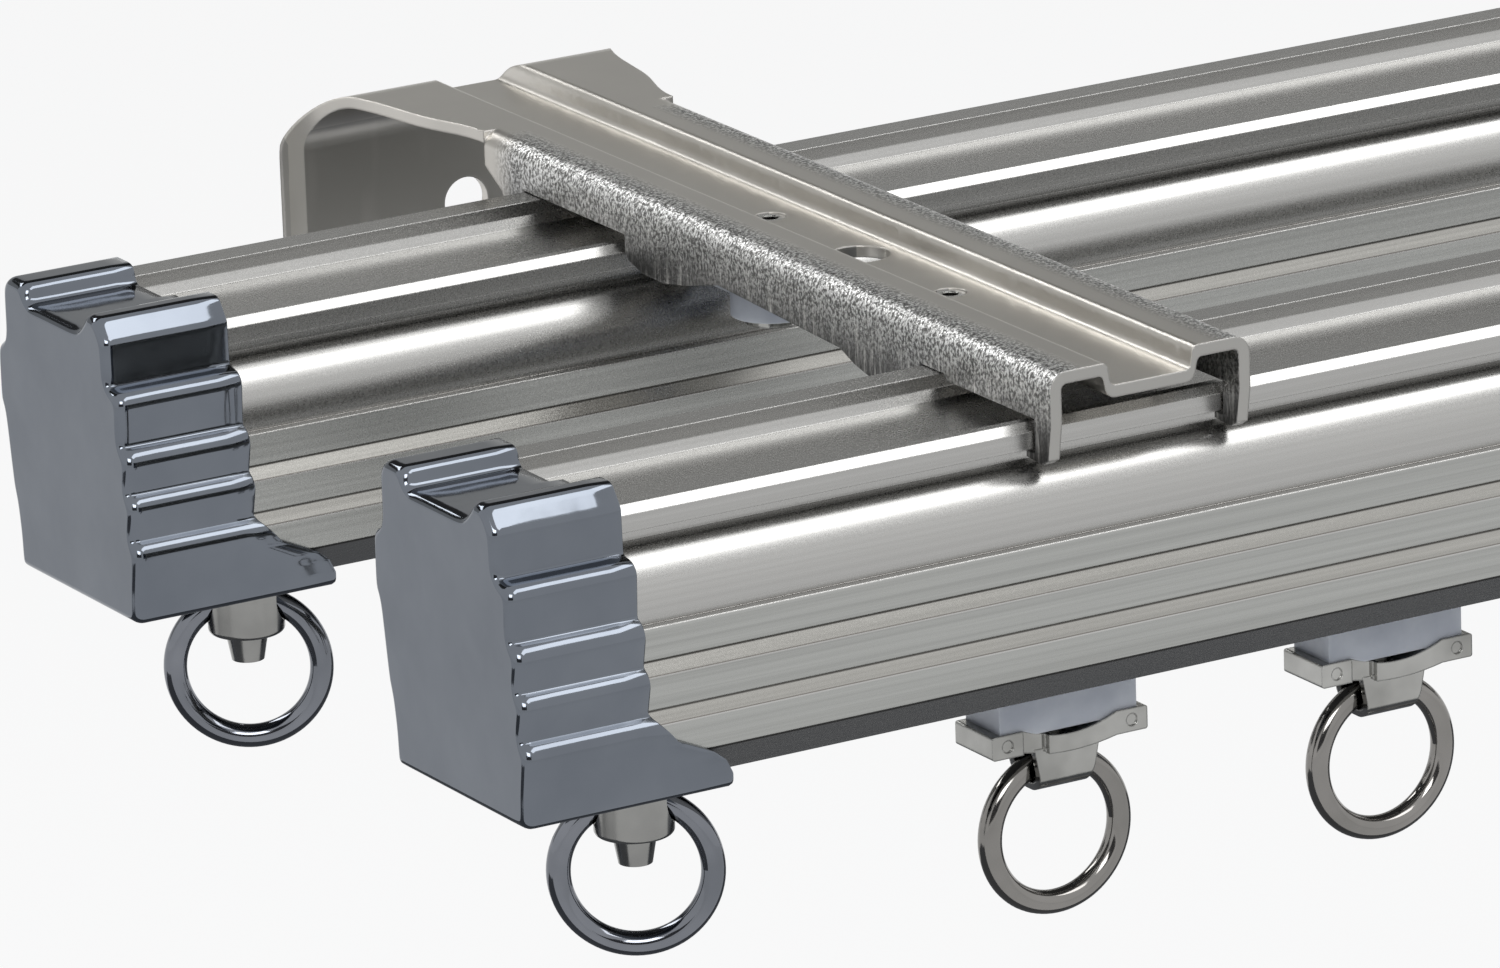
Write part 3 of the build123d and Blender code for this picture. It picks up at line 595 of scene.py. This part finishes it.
def area_light(name, place, target, size, power):
    data = bpy.data.lights.new(name, "AREA")
    data.shape = "RECTANGLE"
    data.size = size[0]
    data.size_y = size[1]
    data.energy = power
    light = bpy.data.objects.new(name, data)
    light.location = place
    light.rotation_euler = (Vector(target) - Vector(place)).to_track_quat("-Z", "Y").to_euler()
    bpy.context.scene.collection.objects.link(light)


def add_lights():
    """Plain level of light, from three soft boxes that also shine in the metal."""
    middle = (-0.1, -0.08, 0)
    area_light("top_box", (0.3, -0.47, 0.86), middle, (1.4, 0.34), 5)
    area_light("front_box", (-0.9, -1.1, 0.75), middle, (0.6, 0.5), 6)
    area_light("back_box", (-0.6, 0.9, 0.9), middle, (0.8, 0.3), 4)


def behind_object(nodes):
    """1 on rays that show the background: straight, mirrored in metal, or through nylon."""
    path = nodes.add("ShaderNodeLightPath")
    seen = math_node(nodes, "MAXIMUM", path.outputs["Is Camera Ray"], path.outputs["Is Glossy Ray"])
    return math_node(nodes, "MAXIMUM", seen, path.outputs["Is Transmission Ray"])


def add_world():
    """White where the background shows, and a grey level of light for everything else."""
    world = bpy.data.worlds.new("studio")
    world.use_nodes = True
    nodes = Nodes(world.node_tree)
    shade = nodes.add("ShaderNodeBackground", Color=(0.45, 0.46, 0.48, 1))
    white = nodes.add("ShaderNodeBackground", Color=(1, 1, 1, 1))
    mix = nodes.add("ShaderNodeMixShader")
    output = nodes.add("ShaderNodeOutputWorld")
    nodes.link(behind_object(nodes), mix.inputs[0])
    nodes.link(shade.outputs[0], mix.inputs[1])
    nodes.link(white.outputs[0], mix.inputs[2])
    nodes.link(mix.outputs[0], output.inputs[0])
    bpy.context.scene.world = world


FLOOR_DROP = 0.25             # floor below the track
FLOOR_REACH = 6.0
CARD_LIFT = 0.02              # the card below the track lies this far above the floor
FLOOR_WHITE = 0.85            # share of plain white in it, the rest takes the shadow


def sheet_object(name, corners, material):
    """One flat, four-sided piece of the stage, not of the track."""
    mesh = bpy.data.meshes.new(name)
    mesh.from_pydata(corners, [], [(0, 1, 2, 3)])
    mesh.materials.append(material)
    piece = bpy.data.objects.new(name, mesh)
    bpy.context.scene.collection.objects.link(piece)
    return piece


def add_floor():
    """Pale floor well below the track, white to the camera apart from the shadow."""
    low = cad_box[0][2] - FLOOR_DROP
    material = bpy.data.materials.new("pale_floor")
    material.use_nodes = True
    nodes = Nodes(material.node_tree)
    share = math_node(nodes, "MULTIPLY", behind_object(nodes), FLOOR_WHITE)
    matt = nodes.add("ShaderNodeBsdfDiffuse", Color=(0.8, 0.8, 0.8, 1))
    white = nodes.add("ShaderNodeEmission", Color=(1, 1, 1, 1))
    mix = nodes.add("ShaderNodeMixShader")
    output = nodes.add("ShaderNodeOutputMaterial")
    nodes.link(share, mix.inputs[0])
    nodes.link(matt.outputs[0], mix.inputs[1])
    nodes.link(white.outputs[0], mix.inputs[2])
    nodes.link(mix.outputs[0], output.inputs[0])
    sides = ((-1, -1), (1, -1), (1, 1), (-1, 1))
    corners = [(FLOOR_REACH * x, FLOOR_REACH * y, low) for x, y in sides]
    sheet_object("floor", corners, material)


def card(name, corners, shade):
    """Grey studio card that only metal sees, so its highlights have dark edges."""
    material = bpy.data.materials.new(name)
    material.use_nodes = True
    nodes = Nodes(material.node_tree)
    glow = nodes.add("ShaderNodeEmission", Color=shade)
    output = nodes.add("ShaderNodeOutputMaterial")
    nodes.link(glow.outputs[0], output.inputs[0])
    piece = sheet_object(name, corners, material)
    piece.visible_camera = False
    piece.visible_diffuse = False
    piece.visible_shadow = False
    piece.visible_transmission = False
    piece.visible_volume_scatter = False


def add_cards():
    """Cards behind, above, below and before the track, each given by its corners."""
    low = cad_box[0][2] - FLOOR_DROP + CARD_LIFT
    card("back_card", (
        (-1.5, 1.4, 0.05), (3.0, 1.4, 0.05), (3.0, 1.4, 0.72), (-1.5, 1.4, 0.72)
    ), (0.5, 0.5, 0.49, 1))
    card("high_card", (
        (-1.5, 1.4, 0.72), (3.0, 1.4, 0.72), (3.0, 0.9, 2.4), (-1.5, 0.9, 2.4)
    ), (0.06, 0.06, 0.058, 1))
    card("under_card", (
        (-0.9, -0.2, low), (1.2, -0.2, low), (1.2, 0.35, low), (-0.9, 0.35, low)
    ), (0.14, 0.145, 0.155, 1))
    card("camera_card", (
        (-1.9, -1.2, 0.05), (-0.7, -1.95, 0.05), (-0.7, -1.95, 0.95), (-1.9, -1.2, 0.95)
    ), (0.1, 0.1, 0.105, 1))


bpy.context.scene.view_settings.view_transform = "Standard"
add_camera()
add_world()
add_lights()
add_floor()
add_cards()
dress_nodes()
add_caps()
